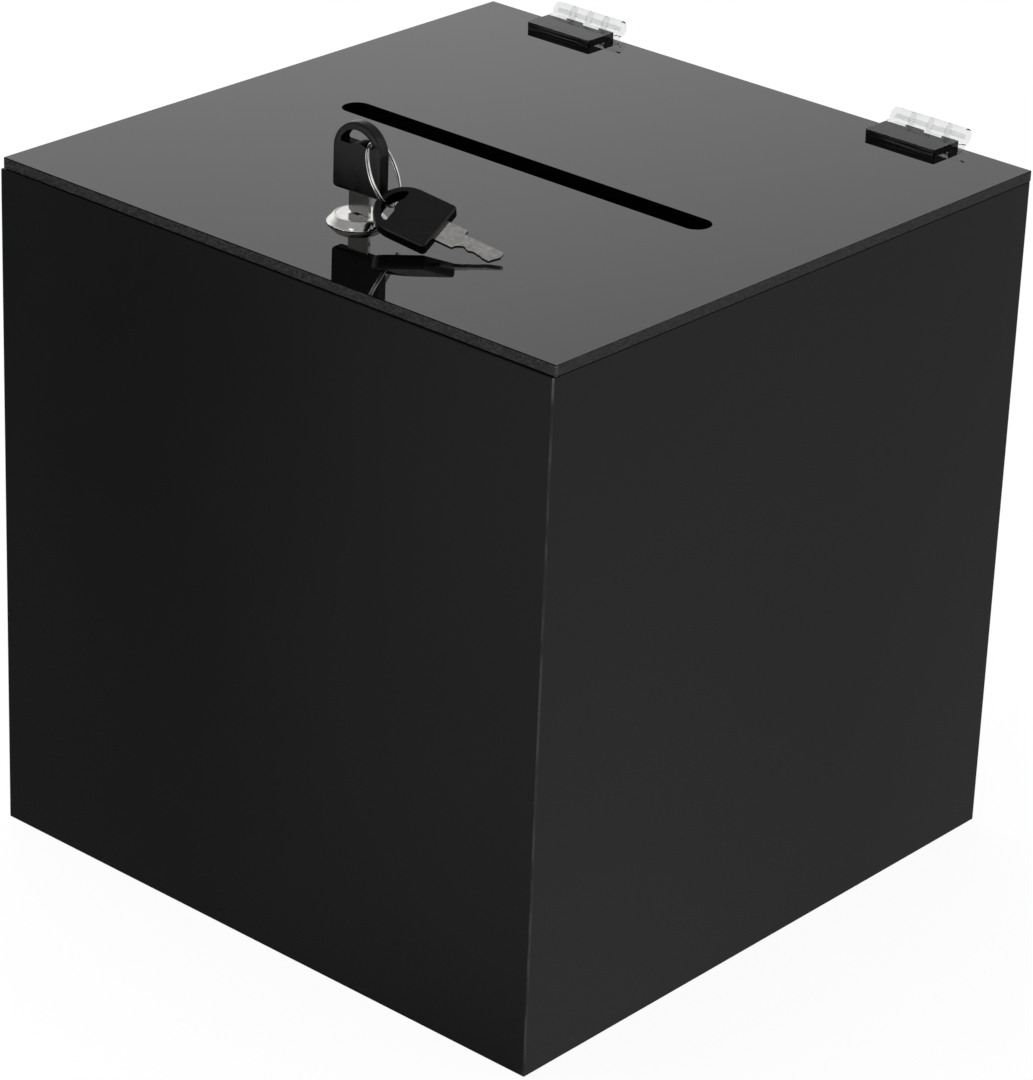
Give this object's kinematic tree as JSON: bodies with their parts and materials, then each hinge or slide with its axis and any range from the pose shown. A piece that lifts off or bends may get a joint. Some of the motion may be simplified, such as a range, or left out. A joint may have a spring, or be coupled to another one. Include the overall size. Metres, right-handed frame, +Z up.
{
  "type": "lockable donation box",
  "caption": "Square black acrylic donation box with a slotted lid on clear hinges, a cam lock in the lid, and a pair of keys on a split ring.",
  "frame": {"origin": "centre of the underside of the box's base and walls", "axes": "+Z up, -Y towards the front where the lid locks, +X to the right seen from the front; the hinges are along +Y"},
  "size_m": [0.3055, 0.3125, 0.354],
  "materials": {
    "black_acrylic": "polished black acrylic sheet",
    "clear_acrylic": "clear moulded acrylic, glossy",
    "plated_steel": "zinc plate, satin",
    "nickel_zinc": "bright nickel plate",
    "brass": "plain stamped brass",
    "nickel_brass": "bright nickel plate",
    "black_plastic": "black moulded plastic, satin",
    "nickel_steel": "bright nickel plate"
  },
  "bodies": {
    "box": {"base_panel": "black_acrylic", "front_panel": "black_acrylic", "back_panel": "black_acrylic", "left_panel": "black_acrylic", "right_panel": "black_acrylic", "keeper_block": "black_acrylic", "left_hinge_back_leaf": "clear_acrylic", "left_hinge_pin": "clear_acrylic", "right_hinge_back_leaf": "clear_acrylic", "right_hinge_pin": "clear_acrylic"},
    "lid": {"lid_panel": "black_acrylic", "left_hinge_lid_leaf": "clear_acrylic", "right_hinge_lid_leaf": "clear_acrylic", "lock_housing": "nickel_zinc", "nut_washer": "plated_steel", "lock_nut": "plated_steel"},
    "plug": {"lock_plug": "nickel_zinc", "lock_wafers": "brass", "stop_washer": "plated_steel", "lock_cam": "plated_steel", "cam_washer": "plated_steel", "cam_screw": "plated_steel"},
    "key": {"key_blade": "nickel_brass", "key_head": "black_plastic"},
    "ring": {"key_ring": "nickel_steel"},
    "spare_key": {"spare_key_blade": "nickel_brass", "spare_key_head": "black_plastic"}
  },
  "joints": [
    {"name": "lid_open", "type": "hinge", "parent": "box", "child": "lid", "pos_m": [0, 0.1563, 0.3149], "axis": [-1, 0, 0], "range_deg": [0, 240]},
    {"name": "lock_turn", "type": "hinge", "parent": "lid", "child": "plug", "pos_m": [-0.0004, -0.0978, 0.3], "axis": [0, 0, -1], "range_deg": [0, 90]},
    {"name": "key_withdraw", "type": "slide", "parent": "plug", "child": "key", "axis": [0, 0, 1], "range_m": [0, 0.025]},
    {"name": "ring_swing", "type": "hinge", "parent": "key", "child": "ring", "pos_m": [0.0066, -0.0975, 0.34602], "axis": [0.3986, -0.9138, 0.0784], "range_deg": [0, 30]},
    {"name": "spare_key_swing", "type": "hinge", "parent": "ring", "child": "spare_key", "pos_m": [0.02078, -0.10259, 0.32524], "axis": [0.1828, -0.8611, 0.4745], "range_deg": [0, 30]}
  ]
}
